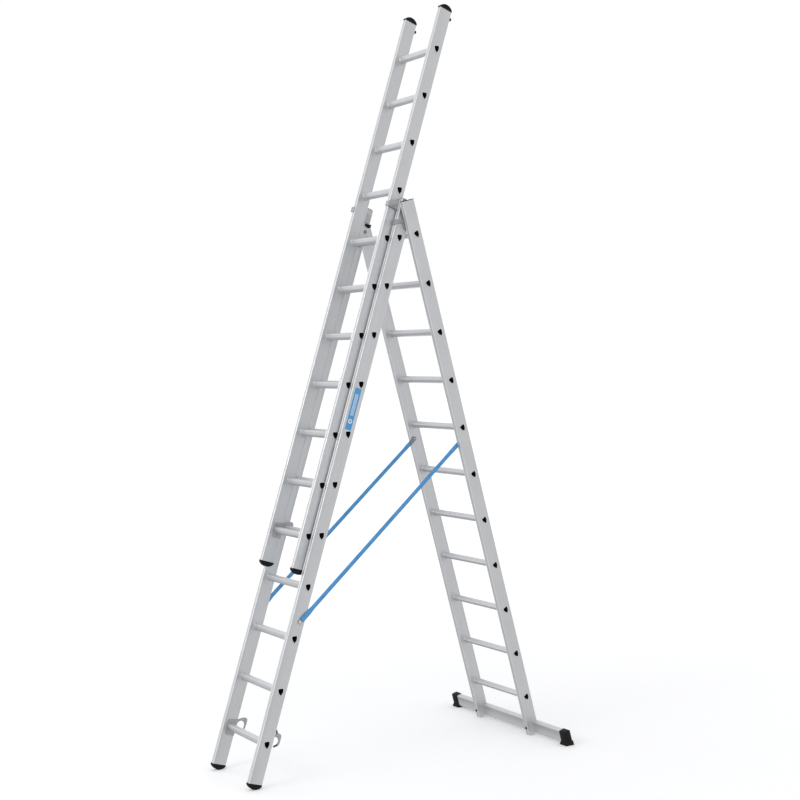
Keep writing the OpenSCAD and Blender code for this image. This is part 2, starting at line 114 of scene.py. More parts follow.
class Graph:
    """A material's node tree, with short calls for the nodes used here."""

    def __init__(self, name):
        self.material = bpy.data.materials.new(name)
        self.material.use_nodes = True
        self.tree = self.material.node_tree
        self.shader = self.tree.nodes["Principled BSDF"]

    def node(self, kind, inputs=None, **settings):
        made = self.tree.nodes.new(kind)
        for key, value in settings.items():
            setattr(made, key, value)
        for key, value in (inputs or {}).items():
            self.put(made.inputs[key], value)
        return made

    def put(self, socket, value):
        if isinstance(value, bpy.types.NodeSocket):
            self.tree.links.new(value, socket)
        else:
            socket.default_value = value

    def scaled(self, vector, scale):
        return self.node("ShaderNodeMapping", {"Vector": vector, "Scale": scale}).outputs["Vector"]

    def coordinates(self, scale):
        """Object coordinates, stretched; the noise has scale[i] cells to the metre along axis i."""
        return self.scaled(self.node("ShaderNodeTexCoord").outputs["Object"], scale)

    def noise(self, vector, detail=3.0, roughness=0.5):
        made = self.node("ShaderNodeTexNoise", {
            "Vector": vector, "Scale": 1.0, "Detail": detail, "Roughness": roughness})
        return made.outputs["Fac"]

    def math(self, operation, a, b=0.5):
        return self.node("ShaderNodeMath", {0: a, 1: b}, operation=operation).outputs[0]

    def spread(self, value, low, high, start=0.3, end=0.7):
        """The value's range from start to end, spread over low to high."""
        made = self.node("ShaderNodeMapRange", {
            "Value": value, "From Min": start, "From Max": end, "To Min": low, "To Max": high})
        return made.outputs["Result"]

    def mix(self, factor, a, b):
        made = self.node("ShaderNodeMix", data_type="RGBA")
        self.put(made.inputs["Factor"], factor)
        self.put(made.inputs["A"], a)
        self.put(made.inputs["B"], b)
        return made.outputs["Result"]

    def bump(self, height, distance, strength=1.0):
        made = self.node("ShaderNodeBump", {
            "Height": height, "Distance": distance, "Strength": strength})
        self.put(self.shader.inputs["Normal"], made.outputs["Normal"])

    def set(self, **values):
        for key, value in values.items():
            self.put(self.shader.inputs[key.replace("_", " ")], value)
        return self.material


def gray(value, tint=(1.0, 1.0, 1.0)):
    return (value * tint[0], value * tint[1], value * tint[2], 1.0)


COOL = (0.985, 1.0, 1.012)


def extruded_metal(name, along, shade, rough=0.42):
    """Mill aluminium: fine draw lines along the extrusion, handling marks, light scratches."""
    g = Graph(name)
    fine = [700.0] * 3
    fine[along] = 5.0
    broad = [90.0] * 3
    broad[along] = 1.2
    lines = g.noise(g.coordinates(fine), detail=4.0, roughness=0.65)
    bands = g.noise(g.coordinates(broad), detail=2.0)
    clouds = g.noise(g.coordinates((7.0, 7.0, 7.0)), detail=5.0, roughness=0.6)
    scuffs = g.noise(g.coordinates((240.0, 160.0, 60.0)), detail=6.0, roughness=0.75)
    marks = g.spread(scuffs, 0.0, 1.0, 0.66, 0.74)
    tone = g.mix(g.spread(clouds, 0.0, 1.0), gray(shade * 0.95, COOL), gray(shade * 1.04, COOL))
    tone = g.mix(g.spread(bands, 0.0, 0.5), tone, gray(shade * 0.93, COOL))
    tone = g.mix(g.math("MULTIPLY", marks, 0.35), tone, gray(shade * 1.15, COOL))
    rough_now = g.math("ADD", g.spread(lines, rough - 0.05, rough + 0.06),
                       g.spread(clouds, -0.03, 0.05))
    height = g.math("ADD", g.math("MULTIPLY", lines, 0.6), g.math("MULTIPLY", bands, 0.4))
    g.bump(height, 0.00006, 0.6)
    return g.set(Base_Color=tone, Metallic=0.75, Roughness=rough_now)


def cast_metal(name, shade):
    """Die-cast aluminium: matte, with a fine grain, lighter on its convex edges."""
    g = Graph(name)
    grain = g.noise(g.coordinates((1400.0,) * 3), detail=2.0)
    blotch = g.noise(g.coordinates((60.0,) * 3), detail=4.0)
    convex_pointiness = g.node("ShaderNodeNewGeometry").outputs["Pointiness"]
    convex_lift = g.spread(convex_pointiness, 0.0, 0.6, 0.52, 0.6)
    tone = g.mix(g.spread(blotch, 0.0, 1.0), gray(shade * 0.88, COOL), gray(shade * 1.1, COOL))
    tone = g.mix(convex_lift, tone, gray(min(shade * 1.7, 0.8), COOL))
    g.bump(grain, 0.00012, 0.5)
    return g.set(Base_Color=tone, Metallic=0.9, Roughness=g.spread(blotch, 0.42, 0.56))


def plated_steel(name, shade, rough=0.3):
    """Zinc-plated steel with the crystalline mottling of the plating."""
    g = Graph(name)
    flakes = g.node("ShaderNodeTexVoronoi", {
        "Vector": g.coordinates((1.0, 1.0, 1.0)), "Scale": 420.0}).outputs["Distance"]
    clouds = g.noise(g.coordinates((130.0,) * 3), detail=4.0)
    tone = g.mix(g.spread(clouds, 0.0, 1.0), gray(shade * 0.85, COOL), gray(shade * 1.1, COOL))
    g.bump(flakes, 0.00005, 0.4)
    return g.set(Base_Color=tone, Metallic=1.0,
                 Roughness=g.spread(flakes, rough, rough + 0.15, 0.1, 0.6))


def moulded_plastic(name, shade=0.007, rough=0.56):
    """Black moulded plastic: spark-eroded texture, paler scuffs and a little dust."""
    g = Graph(name)
    texture = g.noise(g.coordinates((900.0,) * 3), detail=3.0, roughness=0.6)
    scuffs = g.noise(g.coordinates((300.0, 90.0, 120.0)), detail=6.0, roughness=0.8)
    dust = g.noise(g.coordinates((30.0,) * 3), detail=4.0)
    marks = g.spread(scuffs, 0.0, 0.55, 0.62, 0.75)
    tone = g.mix(g.spread(dust, 0.0, 1.0), gray(shade), gray(shade * 1.9, (1.04, 1.0, 0.94)))
    tone = g.mix(marks, tone, gray(shade * 5.0, (1.05, 1.0, 0.95)))
    g.bump(texture, 0.00015, 0.7)
    return g.set(Base_Color=tone, Specular_IOR_Level=0.15,
                 Roughness=g.math("ADD", g.spread(texture, rough - 0.05, rough + 0.08),
                                  g.math("MULTIPLY", marks, 0.2)))


def painted_shade_bore(name):
    """Inside of the rungs: dull and nearly black, painted shade for the tube's dark inside, faintly
    mottled.
    """
    g = Graph(name)
    mottle = g.noise(g.coordinates((40.0, 300.0, 300.0)), detail=4.0)
    tone = g.mix(g.spread(mottle, 0.0, 1.0), gray(0.004), gray(0.012))
    return g.set(Base_Color=tone, Roughness=g.spread(mottle, 0.75, 0.9))


def webbing(name, blue):
    """Polyester webbing: a ribbed plain weave with a firm selvedge, in metres along the strap."""
    g = Graph(name)
    place = g.node("ShaderNodeUVMap", uv_map="strap").outputs["UV"]
    warp = g.node("ShaderNodeTexWave", {
        "Vector": g.scaled(place, (0.0, 1.0, 1.0)), "Scale": 190.0},
        bands_direction="Y").outputs["Fac"]
    weft = g.node("ShaderNodeTexWave", {
        "Vector": g.scaled(place, (1.0, 0.0, 1.0)), "Scale": 120.0},
        bands_direction="X").outputs["Fac"]
    weave = g.math("MULTIPLY", warp, weft)
    across = g.node("ShaderNodeSeparateXYZ", {"Vector": place}).outputs["Y"]
    fuzz = g.noise(g.scaled(place, (300.0, 900.0, 1.0)), detail=4.0)
    fade = g.noise(g.scaled(place, (14.0, 30.0, 1.0)), detail=3.0)
    selvedge = g.spread(g.math("ABSOLUTE", across), 0.0, 1.0, 0.0095, 0.0105)
    deep = (blue[0] * 0.45, blue[1] * 0.55, blue[2] * 0.66, 1.0)
    pale = (blue[0] * 1.6, blue[1] * 1.25, blue[2] * 1.12, 1.0)
    tone = g.mix(g.spread(weave, 0.0, 1.0, 0.0, 0.6), deep, (*blue, 1.0))
    tone = g.mix(g.spread(fade, 0.0, 0.5), tone, pale)
    tone = g.mix(g.math("MULTIPLY", selvedge, 0.35), tone, deep)
    tone = g.mix(g.spread(fuzz, 0.0, 0.35, 0.5, 0.8), tone, pale)
    g.bump(g.math("ADD", weave, g.math("MULTIPLY", fuzz, 0.3)), 0.0005, 0.8)
    return g.set(Base_Color=tone, Roughness=0.78, Sheen_Weight=0.35, Sheen_Roughness=0.4)


def thread(name):
    """Sewing thread: fine twist, a little paler than the webbing."""
    g = Graph(name)
    twist = g.noise(g.coordinates((1500.0,) * 3), detail=2.0)
    tone = g.mix(twist, (0.30, 0.45, 0.70, 1.0), (0.55, 0.68, 0.85, 1.0))
    g.bump(twist, 0.0002, 0.6)
    return g.set(Base_Color=tone, Roughness=0.6, Sheen_Weight=0.3)


def printed_film(name, blue):
    """Label film: blue with three plain pale bars, a ring and a pale rim, clear gloss over it."""
    g = Graph(name)
    place = g.node("ShaderNodeUVMap", uv_map="label").outputs["UV"]
    parts = g.node("ShaderNodeSeparateXYZ", {"Vector": place})
    along, across = parts.outputs["X"], parts.outputs["Y"]

    def between(value, low, high):
        above, below = g.math("GREATER_THAN", value, low), g.math("LESS_THAN", value, high)
        return g.math("MULTIPLY", above, below)

    bars = None
    for low, high in ((0.30, 0.37), (0.465, 0.535), (0.63, 0.70)):
        bar = g.math("MULTIPLY", between(across, low, high), between(along, 0.34, 0.86))
        bars = bar if bars is None else g.math("MAXIMUM", bars, bar)
    from_centre = g.node("ShaderNodeMapping", {
        "Vector": place, "Location": (-1.02, -0.5, 0.0), "Scale": (5.04, 1.0, 0.0)}).outputs[0]
    radius = g.node("ShaderNodeVectorMath", {0: from_centre}, operation="LENGTH").outputs["Value"]
    ring = between(radius, 0.14, 0.27)
    rim = g.math("MAXIMUM", g.math("LESS_THAN", across, 0.05), g.math("GREATER_THAN", across, 0.95))
    pale = g.math("MAXIMUM", g.math("MAXIMUM", bars, ring), rim)
    ink = g.noise(g.scaled(place, (60.0, 14.0, 1.0)), detail=4.0)
    deep = (blue[0] * 0.85, blue[1] * 0.9, blue[2] * 0.95, 1.0)
    tone = g.mix(ink, deep, (*blue, 1.0))
    tone = g.mix(pale, tone, (0.86, 0.90, 0.94, 1.0))
    g.bump(ink, 0.00004, 0.5)
    return g.set(Base_Color=tone, Roughness=g.spread(ink, 0.22, 0.34), Coat_Weight=0.4,
                 Coat_Roughness=0.15)


ALONG_X, ALONG_Z = 0, 2
stile_metal = extruded_metal("stile_aluminium", ALONG_Z, shade=0.68)
# Brighter, glossier stile metal for the stiles' corners and beads: a painted highlight.
highlight_edge_metal = extruded_metal("handled_edge_aluminium", ALONG_Z, shade=0.90, rough=0.26)
rung_metal = extruded_metal("rung_aluminium", ALONG_X, shade=0.76)
bar_metal = extruded_metal("bar_aluminium", ALONG_X, shade=0.68)
casting = cast_metal("cast_aluminium", shade=0.46)
bracket_casting = cast_metal("bracket_casting", shade=0.40)
dark_casting = cast_metal("dark_casting", shade=0.11)
zinc = plated_steel("zinc_plate", shade=0.80)
dull_zinc = plated_steel("dull_zinc", shade=0.30, rough=0.4)
black_oxide = plated_steel("black_oxide", shade=0.05, rough=0.4)
plastic = moulded_plastic("black_plastic")
# Near-black painted shade for the inside of the rungs.
bore = painted_shade_bore("rung_bore")
strap_blue = webbing("blue_webbing", (0.10, 0.43, 0.86))
stitching = thread("stitch_thread")
film = printed_film("label_film", (0.07, 0.36, 0.72))

# ---- Mesh helpers ----


def add_piece(name, mesh, materials, node, matrix=None):
    """Puts a mesh in the scene as the piece that stands for a CAD node."""
    piece = bpy.data.objects.new(name, mesh)
    bpy.context.scene.collection.objects.link(piece)
    if matrix is not None:
        piece.matrix_world = matrix
    for material in materials:
        if material.name not in mesh.materials:
            mesh.materials.append(material)
    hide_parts(node)
    return piece


def smooth(mesh, sharp=32):
    mesh.shade_smooth()
    mesh.set_sharp_from_angle(angle=math.radians(sharp))


def build_mesh(name, points, faces, looks=None, sharp=32):
    """A mesh with outward normals; looks gives each face's material index."""
    mesh = bpy.data.meshes.new(name)
    mesh.from_pydata(points, [], faces)
    if looks:
        mesh.polygons.foreach_set("material_index", looks)
    shape = bmesh.new()
    shape.from_mesh(mesh)
    bmesh.ops.recalc_face_normals(shape, faces=shape.faces)
    shape.to_mesh(mesh)
    shape.free()
    smooth(mesh, sharp)
    return mesh


def loft(rings, closed):
    """Points and quads that join rings of equal length, and the last to the first if closed."""
    size = len(rings[0])
    faces = []
    for i in range(len(rings) if closed else len(rings) - 1):
        a, b = i * size, (i + 1) % len(rings) * size
        faces += [(a + k, a + (k + 1) % size, b + (k + 1) % size, b + k) for k in range(size)]
    return [p for ring in rings for p in ring], faces


def arc(centre, radius, start, end, steps):
    """Points [y, z] along an arc, angles in degrees."""
    angles = [math.radians(start + (end - start) * k / steps) for k in range(steps + 1)]
    return [(centre[0] + radius * math.cos(a), centre[1] + radius * math.sin(a)) for a in angles]


def cut(mesh, cutter):
    """The mesh with the cutter's shape taken away."""
    body = bpy.data.objects.new("body", mesh)
    tool = bpy.data.objects.new("tool", cutter)
    for item in (body, tool):
        bpy.context.scene.collection.objects.link(item)
    boolean = body.modifiers.new("cut", "BOOLEAN")
    boolean.operation, boolean.solver, boolean.object = "DIFFERENCE", "EXACT", tool
    view = bpy.context.evaluated_depsgraph_get()
    result = bpy.data.meshes.new_from_object(body.evaluated_get(view))
    for item in (body, tool):
        bpy.data.objects.remove(item)
    smooth(result)
    return result


WELD = 0.02 * MM            # points of the CAD mesh closer than this are one
FLAT_ANGLE = math.radians(1.0)
EDGE_ANGLE = math.radians(25)   # an edge sharper than this is rounded


def soften(node, material, width, matrix):
    """The CAD node's own shape with its edges rounded, as on a real casting or moulding."""
    shape = bmesh.new()
    shape.from_mesh(nodes[node].data)
    shape.transform(matrix.inverted())
    bmesh.ops.remove_doubles(shape, verts=shape.verts, dist=WELD)
    bmesh.ops.dissolve_limit(shape, angle_limit=FLAT_ANGLE, verts=shape.verts, edges=shape.edges)
    edges = [e for e in shape.edges
             if len(e.link_faces) == 2 and e.calc_face_angle(0.0) > EDGE_ANGLE]
    bmesh.ops.bevel(shape, geom=edges, offset=width, segments=3, profile=0.5,
                    affect="EDGES", clamp_overlap=True)
    bmesh.ops.recalc_face_normals(shape, faces=shape.faces)
    mesh = bpy.data.meshes.new(node + "_piece")
    shape.to_mesh(mesh)
    shape.free()
    smooth(mesh, 40)
    piece = add_piece(node + "_piece", mesh, [material], node, matrix)
    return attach(piece, body_of[node])


# ---- Rungs ----

# Circles that round the outline's corners, [y, z] from the rung's axis
CORNERS = [(-9.0 * MM, 7.0 * MM), (-6.0 * MM, -6.5 * MM), (0.0, -19.5 * MM),
           (6.0 * MM, -6.5 * MM), (9.0 * MM, 7.0 * MM)]
RADII = [7.5 * MM, 8.0 * MM, 4.5 * MM, 8.0 * MM, 7.5 * MM]
WALL = 1.6 * MM
COLLAR = 2.6 * MM           # how far the swaged collar stands out round the outline
ARC_STEPS = 6
GROOVE_PITCH = 3.4 * MM
GROOVE_HALF = 0.6 * MM
GROOVE_DEPTH = 0.6 * MM
BORE_LIMIT = -WALL + 0.4 * MM   # a ring grown no more than this lies inside the bore


def edge_angle(i):
    """Direction, in degrees, that the edge between two of the corners' circles faces."""
    after = (i + 1) % len(CORNERS)
    along = Vector(CORNERS[after]) - Vector(CORNERS[i])
    slope = math.asin((RADII[i] - RADII[after]) / along.length)
    return math.degrees(math.atan2(-along.x, along.y) + slope)


def rung_outline(grow, groove=0.0):
    """Rounded shield with its tread level; groove is how deep the tread's grooves are."""
    points = []
    for i in range(len(CORNERS)):
        start = edge_angle(i - 1)
        sweep = (edge_angle(i) - start) % 360
        points += arc(CORNERS[i], RADII[i] + grow, start, start + sweep, ARC_STEPS)
    top = CORNERS[0][1] + RADII[0] + grow
    for k in (2, 1, 0, -1, -2):
        y = k * GROOVE_PITCH
        points += [(y + GROOVE_HALF * 1.3, top), (y + GROOVE_HALF * 0.7, top - groove),
                   (y - GROOVE_HALF * 0.7, top - groove), (y - GROOVE_HALF * 1.3, top)]
    turn = Matrix.Rotation(main.lean, 2)
    return [turn @ Vector(p) for p in points]


def centred(points, like):
    """Points moved so that the middle of the outline they belong to lies at the origin."""
    y = (min(p.x for p in like) + max(p.x for p in like)) / 2
    z = (min(p.y for p in like) + max(p.y for p in like)) / 2
    return [(p.x - y, p.y - z) for p in points]


def rung_stations(half, inner):
    """(x, growth, groove share): out along the bore, round the end, back along the outside."""
    return [
        (inner * 0.5, -WALL, 0.0), (half - 6 * MM, -WALL, 0.0),
        (half + 0.7 * MM, -WALL, 0.0), (half + 1.3 * MM, -WALL + 0.4 * MM, 0.0),
        (half + 1.5 * MM, -WALL + 1.0 * MM, 0.0), (half + 1.5 * MM, COLLAR - 0.8 * MM, 0.0),
        (half + 1.25 * MM, COLLAR - 0.2 * MM, 0.0), (half + 0.8 * MM, COLLAR, 0.0),
        (half - 0.6 * MM, COLLAR, 0.0), (half - 0.6 * MM, 0.0, 0.0),
        (inner + 0.6 * MM, 0.0, 0.0), (inner + 0.6 * MM, COLLAR, 0.0),
        (inner - 1.2 * MM, COLLAR, 0.0), (inner - 2.4 * MM, COLLAR - 0.6 * MM, 0.0),
        (inner - 4.0 * MM, 1.1 * MM, 0.0), (inner - 6.5 * MM, 0.35 * MM, 0.0),
        (inner - 10 * MM, 0.0, 0.1), (inner - 14 * MM, 0.0, 0.6),
        (inner - 20 * MM, 0.0, 1.0), (inner * 0.45, 0.0, 1.0)]


def rung_mesh(name, half, inner):
    """A tube with a collar at each stile; half and inner are the stile's faces from the middle."""
    collar = rung_outline(COLLAR)
    right = rung_stations(half, inner)
    left = [(-x, grow, groove) for x, grow, groove in reversed(right)]
    rings, in_bore = [], []
    for x, grow, groove in right + left:
        ring = centred(rung_outline(grow, groove * GROOVE_DEPTH), collar)
        rings.append([(x, y, z) for y, z in ring])
        in_bore.append(grow <= BORE_LIMIT)
    points, faces = loft(rings, closed=True)
    looks = []
    # Faces inside the bore take the near-black painted shade.
    for i, inside in enumerate(in_bore):
        looks += [int(inside and in_bore[(i + 1) % len(rings)])] * len(rings[0])
    return build_mesh(name, points, faces, looks, sharp=30)


def build_rungs(section):
    node = section.name + "_rungs"
    stile = section.box(section.name + "_stile_right")
    mesh = rung_mesh(node, stile[1].x, stile[0].x)
    for material in (rung_metal, bore):
        mesh.materials.append(material)
    for i, place in enumerate(section.rungs):
        piece = add_piece(f"{section.name}_rung_{i + 1:02d}", mesh, [], node,
                          section.matrix @ Matrix.Translation((0, place.y, place.z)))
        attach(piece, body_of[node])


# ---- Stiles ----

STILE_CORNER = 3.2 * MM
STILE_WALL = 2.0 * MM
CHANNEL_DEPTH = 0.8 * MM    # of the channel along each narrow face
CHANNEL_HALF = 8.4 * MM
WEB_STEP = 0.5 * MM         # how far the webs are sunk between their edges
WEB_EDGE = 5.5 * MM
HOLE_FIT = 0.1 * MM


def quarter_turn(points):
    """A closed outline from the part of it that lies at x > 0, y < 0, listed front to side."""
    side = points + [(x, -y) for x, y in reversed(points)]
    return side + [(-x, y) for x, y in reversed(side)]


def stile_outline(width, depth):
    """Box section with a shallow channel in each narrow face and slightly sunk webs."""
    x, y = width / 2, depth / 2
    front = [(CHANNEL_HALF - 0.9 * MM, -y + CHANNEL_DEPTH), (CHANNEL_HALF, -y + 0.25 * MM),
             (CHANNEL_HALF + 0.5 * MM, -y)]
    corner = arc((x - STILE_CORNER, -y + STILE_CORNER), STILE_CORNER, -90, 0, 6)
    web = [(x, -y + WEB_EDGE), (x - WEB_STEP, -y + WEB_EDGE + 0.9 * MM)]
    return quarter_turn(front + corner + web)


def box_outline(width, depth, radius, steps=4):
    x, y = width / 2, depth / 2
    return quarter_turn(arc((x - radius, -y + radius), radius, -90, 0, steps))


def tube_mesh(name, outer, inner, stations, place):
    """An open tube between two outlines, with its ends closed round the wall."""
    outside = [[place(a, b, s) for a, b in outer] for s in stations]
    inside = [[place(a, b, s) for a, b in inner] for s in reversed(stations)]
    points, faces = loft(outside, closed=False)
    more, other = loft(inside, closed=False)
    base = len(points)
    faces += [tuple(i + base for i in face) for face in other]
    points += more
    for ring, back in ((0, len(inside) - 1), (len(outside) - 1, 0)):
        faces += end_faces(ring * len(outer), len(outer), base + back * len(inner), len(inner),
                           points)
    return build_mesh(name, points, faces)


def end_faces(first, size, second, count, points):
    """Triangles that fill the gap between an outer ring and an inner one, walking round both."""
    ring = [points[first + k] for k in range(size)]
    centre = middle(ring)
    spans = [max(p[axis] for p in ring) - min(p[axis] for p in ring) for axis in range(3)]
    a_axis, b_axis = sorted(sorted(range(3), key=lambda axis: spans[axis])[1:])

    def angle(i):
        offset = Vector(points[i]) - centre
        return math.atan2(offset[b_axis], offset[a_axis])

    outer = sorted(range(first, first + size), key=angle)
    inner = sorted(range(second, second + count), key=angle)
    faces, i, j = [], 0, 0
    while i < size or j < count:
        a, b = outer[i % size], inner[j % count]
        next_a, next_b = outer[(i + 1) % size], inner[(j + 1) % count]
        turn_a = angle(next_a) + (math.tau if i + 1 >= size else 0)
        turn_b = angle(next_b) + (math.tau if j + 1 >= count else 0)
        if j >= count or (i < size and turn_a <= turn_b):
            faces.append((a, next_a, b))
            i += 1
        else:
            faces.append((a, next_b, b))
            j += 1
    return faces


def prism(outline, low, high):
    """A closed prism along x from an outline of [y, z] points."""
    rings = [[(x, y, z) for y, z in outline] for x in (low, high)]
    points, faces = loft(rings, closed=False)
    size = len(outline)
    faces += [tuple(range(size)), tuple(range(size, 2 * size))]
    return points, faces


def joined(name, solids):
    """One mesh from several solids, each given as points and faces."""
    points, faces = [], []
    for more, other in solids:
        base = len(points)
        points += more
        faces += [tuple(i + base for i in face) for face in other]
    return build_mesh(name, points, faces)


EDGE_BAND = 7.0 * MM        # corners and beads drawn in brighter metal: a painted highlight
EDGE_DEPTH = 4.0 * MM
EDGE_NORMAL = 0.95


def build_stile(section, side):
    node = f"{section.name}_stile_{side}"
    low, high = section.box(node)
    width, depth = high.x - low.x, high.y - low.y
    centre = (low.x + high.x) / 2
    reach = 2 * MM              # how far a cutter runs past the face it cuts

    def place(a, b, s):
        return (centre + a, b, s)

    outer = stile_outline(width, depth)
    inner = box_outline(width - 2 * STILE_WALL - 2 * WEB_STEP,
                        depth - 2 * STILE_WALL - 2 * CHANNEL_DEPTH, 2 * MM)
    mesh = tube_mesh(node, outer, inner, (low.z, high.z), place)
    hole = centred(rung_outline(HOLE_FIT), rung_outline(COLLAR))
    solids = [prism([(y + p.y, z + p.z) for y, z in hole], low.x - reach, high.x + reach)
              for p in section.rungs]
    if section is support:
        bar = section.box("stabiliser_bar")
        saddle = section.box("bar_bracket_" + side)
        notch = [(saddle[0].y, low.z - reach), (high.y + reach, low.z - reach),
                 (high.y + reach, bar[1].z + MM), (saddle[0].y, bar[1].z + MM)]
        solids.append(prism(notch, low.x - reach, high.x + reach))
    mesh = cut(mesh, joined("holes", solids))
    # Faces on the corners and beads take the brighter metal, a painted highlight along each edge.
    for face in mesh.polygons:
        across, deep = abs(face.center.x - centre), abs(face.center.y - (low.y + high.y) / 2)
        on_edge = across > width / 2 - EDGE_BAND and deep > depth / 2 - EDGE_DEPTH
        if on_edge and abs(face.normal.x) < EDGE_NORMAL and abs(face.normal.z) < EDGE_NORMAL:
            face.material_index = 1
    piece = add_piece(node + "_piece", mesh, [stile_metal, highlight_edge_metal], node,
                      section.matrix)
    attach(piece, body_of[node])


# ---- Caps on the stiles' ends ----

CAP_RIM = 8.0 * MM
CAP_ROUND = 1.8 * MM
CAP_STEPS = 72
GRIP_PITCH = 7.0            # degrees from groove to groove round the cap's arc
GRIP_SHARE = 0.14           # half a groove's width, as a share of the pitch
GRIP_CLEAR = 8              # degrees without grooves beside the rim
GRIP_DEPTH = 0.9 * MM
# Rounding of a cap's side faces: (mm in from the face, inset, share of the grooves' depth)
CAP_EDGE = [(0.0, CAP_ROUND, 0.3), (0.15, 0.9 * MM, 0.6), (0.5, 0.35 * MM, 0.9),
            (1.0, 0.08 * MM, 1.0), (1.8, 0.0, 1.0)]
DOWN = 270                  # direction of a cap's lowest point, in degrees


def cap_outline(half, drop, inset, grip):
    """Outline [y, z] of a cap below its stile: straight rim, then an arc with grip grooves."""
    radius = (half * half + (drop - CAP_RIM) ** 2) / (2 * (drop - CAP_RIM))
    centre = radius - drop
    reach = math.degrees(math.asin(half / radius))
    start = DOWN - reach
    angles = [start + 2 * reach * k / CAP_STEPS for k in range(CAP_STEPS + 1)]
    curve = []
    for angle in angles:
        phase = abs((angle - DOWN) / GRIP_PITCH - round((angle - DOWN) / GRIP_PITCH))
        near_rim = abs(angle - DOWN) > reach - GRIP_CLEAR
        groove = 0.0 if near_rim or phase > GRIP_SHARE else grip
        r = radius - inset - groove
        y = r * math.cos(math.radians(angle))
        z = centre + r * math.sin(math.radians(angle))
        curve.append((max(min(y, half - inset), inset - half), min(z, -CAP_RIM)))
    return [(-half + inset, 0.0)] + curve + [(half - inset, 0.0)]


def build_cap(section, node, upside):
    """One rounded cap; upside is 1 at a stile's lower end and -1 at its upper end."""
    low, high = section.box(node)
    stile = section.box(f"{section.name}_stile_{node.rsplit('_', 1)[1]}")
    end = stile[0].z if upside == 1 else stile[1].z
    tip = low.z if upside == 1 else high.z
    half_depth = (high.y - low.y) / 2
    half_width = (high.x - low.x) / 2
    centre = (low.x + high.x) / 2
    middle_y = (low.y + high.y) / 2
    stations = [(-half_width + x * MM, inset, grip) for x, inset, grip in CAP_EDGE]
    stations += [(half_width - x * MM, inset, grip) for x, inset, grip in reversed(CAP_EDGE)]
    rings = []
    for x, inset, grip in stations:
        outline = cap_outline(half_depth, abs(tip - end), inset, grip * GRIP_DEPTH)
        rings.append([(centre + x, middle_y + y, end + upside * z) for y, z in outline])
    points, faces = loft(rings, closed=False)
    size = len(rings[0])
    faces += [tuple(range(size)), tuple(range(len(points) - size, len(points)))]
    mesh = build_mesh(node, points, faces, sharp=38)
    piece = add_piece(node + "_piece", mesh, [plastic], node, section.matrix)
    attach(piece, body_of[node])


# ---- Stabiliser bar ----

BAR_CORNER = 3 * MM
BAR_WALL = 2.4 * MM
BAR_RIDGE = 0.4 * MM        # how far the bar's faces are sunk between their edges
BAR_EDGE = 9 * MM


def build_bar():
    node = "stabiliser_bar"
    low, high = support.box(node)
    y, z = (low.y + high.y) / 2, (low.z + high.z) / 2
    depth, height = high.y - low.y, high.z - low.z
    x, up = depth / 2, height / 2
    corner = arc((x - BAR_CORNER, -up + BAR_CORNER), BAR_CORNER, -90, 0, 6)
    face = [(x, -up + BAR_EDGE), (x - BAR_RIDGE, -up + BAR_EDGE + 0.8 * MM)]
    outer = quarter_turn([(1.0 * MM, -up)] + corner + face)
    inner = box_outline(depth - 2 * BAR_WALL, height - 2 * BAR_WALL, 1.5 * MM)

    def place(a, b, s):
        return (s, y + a, z + b)

    mesh = tube_mesh(node, outer, inner, (low.x, high.x), place)
    piece = add_piece(node + "_piece", mesh, [bar_metal], node,
                      support.matrix)
    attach(piece, body_of[node])


# ---- Straps ----

STRAP_STEPS = 90
WEB_THICK = 1.3 * MM
SLEEVE_THICK = 2.3 * MM
SLEEVE_LENGTH = 66 * MM
SLEEVE_TAPER = 20 * MM
UPPER_SLEEVE = 0.4          # how much of the lower sleeve's extra width the upper one has
WEB_EDGE_ROUND = 0.35 * MM
CROWN = 0.1 * MM            # how much thicker the webbing is along its middle
STITCH_LENGTH = 3.2 * MM
STITCH_WIDTH = 1.2 * MM
STITCH_PITCH = 4.6 * MM
STITCH_START = 4 * MM       # from each end of a sleeve
STITCH_INSET = 2.5 * MM     # of the outer rows, from the webbing's edge
# One stitch: points as (share of half the length, share of the width, mm out), and its faces
STITCH_POINTS = [(-1, 0, 0), (-0.6, 0.35, 0.2), (-0.6, -0.35, 0.2), (0.6, 0.35, 0.2),
                 (0.6, -0.35, 0.2), (1, 0, 0), (-0.6, 0, 0.45), (0.6, 0, 0.45)]
STITCH_FACES = [(0, 1, 6), (0, 6, 2), (1, 3, 7, 6), (6, 7, 4, 2), (3, 5, 7), (5, 4, 7),
                (0, 2, 4, 5, 3, 1)]
SLEEVE_ZONE = 5 * MM        # points this near an end of the CAD strap lie on a sleeve
PLAIN_ZONE = 85 * MM        # points this far from both ends lie on the plain webbing


